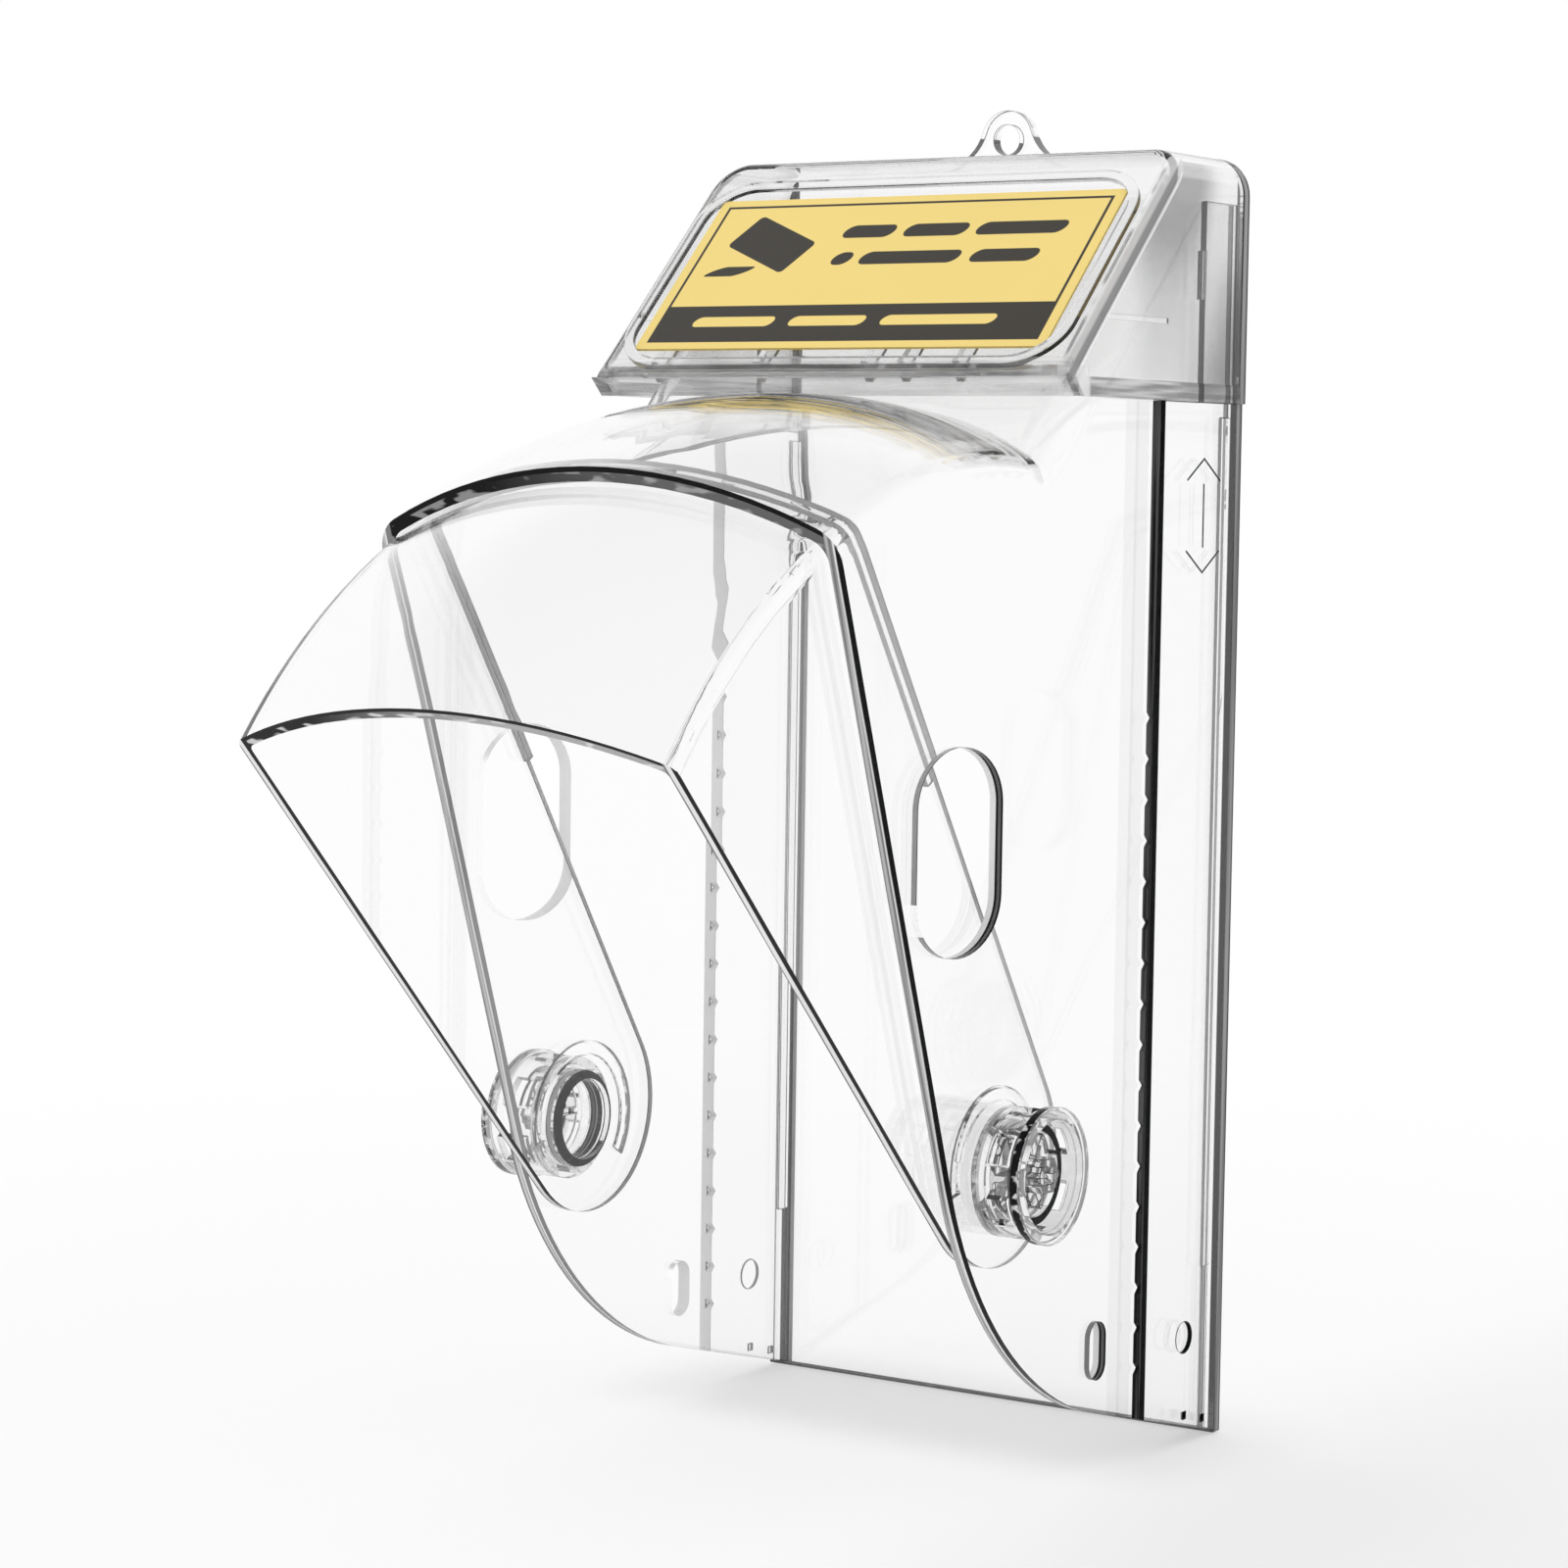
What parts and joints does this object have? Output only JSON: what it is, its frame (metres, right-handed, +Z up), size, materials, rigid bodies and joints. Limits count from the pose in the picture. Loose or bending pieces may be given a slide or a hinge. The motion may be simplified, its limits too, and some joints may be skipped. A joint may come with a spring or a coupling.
{
  "type": "doorbell rain cover",
  "caption": "Clear wall-mounted rain cover for a video doorbell: channel back tray, sliding hood, tilting visor on knobs and a sign cap.",
  "frame": {"origin": "centre of the tray's flat back face, on the wall plane, half way up the tray without its hanging tab", "axes": "+Y into the wall, -Y towards the visitor, +Z up, +X to the right seen from the front"},
  "size_m": [0.0966, 0.1501, 0.2088],
  "materials": {
    "clear_tray": "clear polished plastic",
    "clear_hood": "clear polished plastic",
    "clear_visor": "clear polished plastic",
    "clear_knob": "clear polished plastic",
    "clear_cap": "clear polished plastic",
    "printed_card": "printed card, satin"
  },
  "bodies": {
    "tray": {"back_tray": "clear_tray", "sign_cap": "clear_cap", "sign_card": "printed_card"},
    "hood": {"hood": "clear_hood"},
    "visor": {"visor": "clear_visor", "knob_right": "clear_knob", "knob_left": "clear_knob", "hub_core_right": "clear_knob", "hub_core_left": "clear_knob"}
  },
  "joints": [
    {"name": "hood_slide", "type": "slide", "parent": "tray", "child": "hood", "axis": [0, 0, 1], "range_m": [-0.025, 0]},
    {"name": "visor_tilt", "type": "hinge", "parent": "hood", "child": "visor", "pos_m": [0, -0.0645, -0.05], "axis": [1, 0, 0], "range_deg": [-25, 0]}
  ]
}
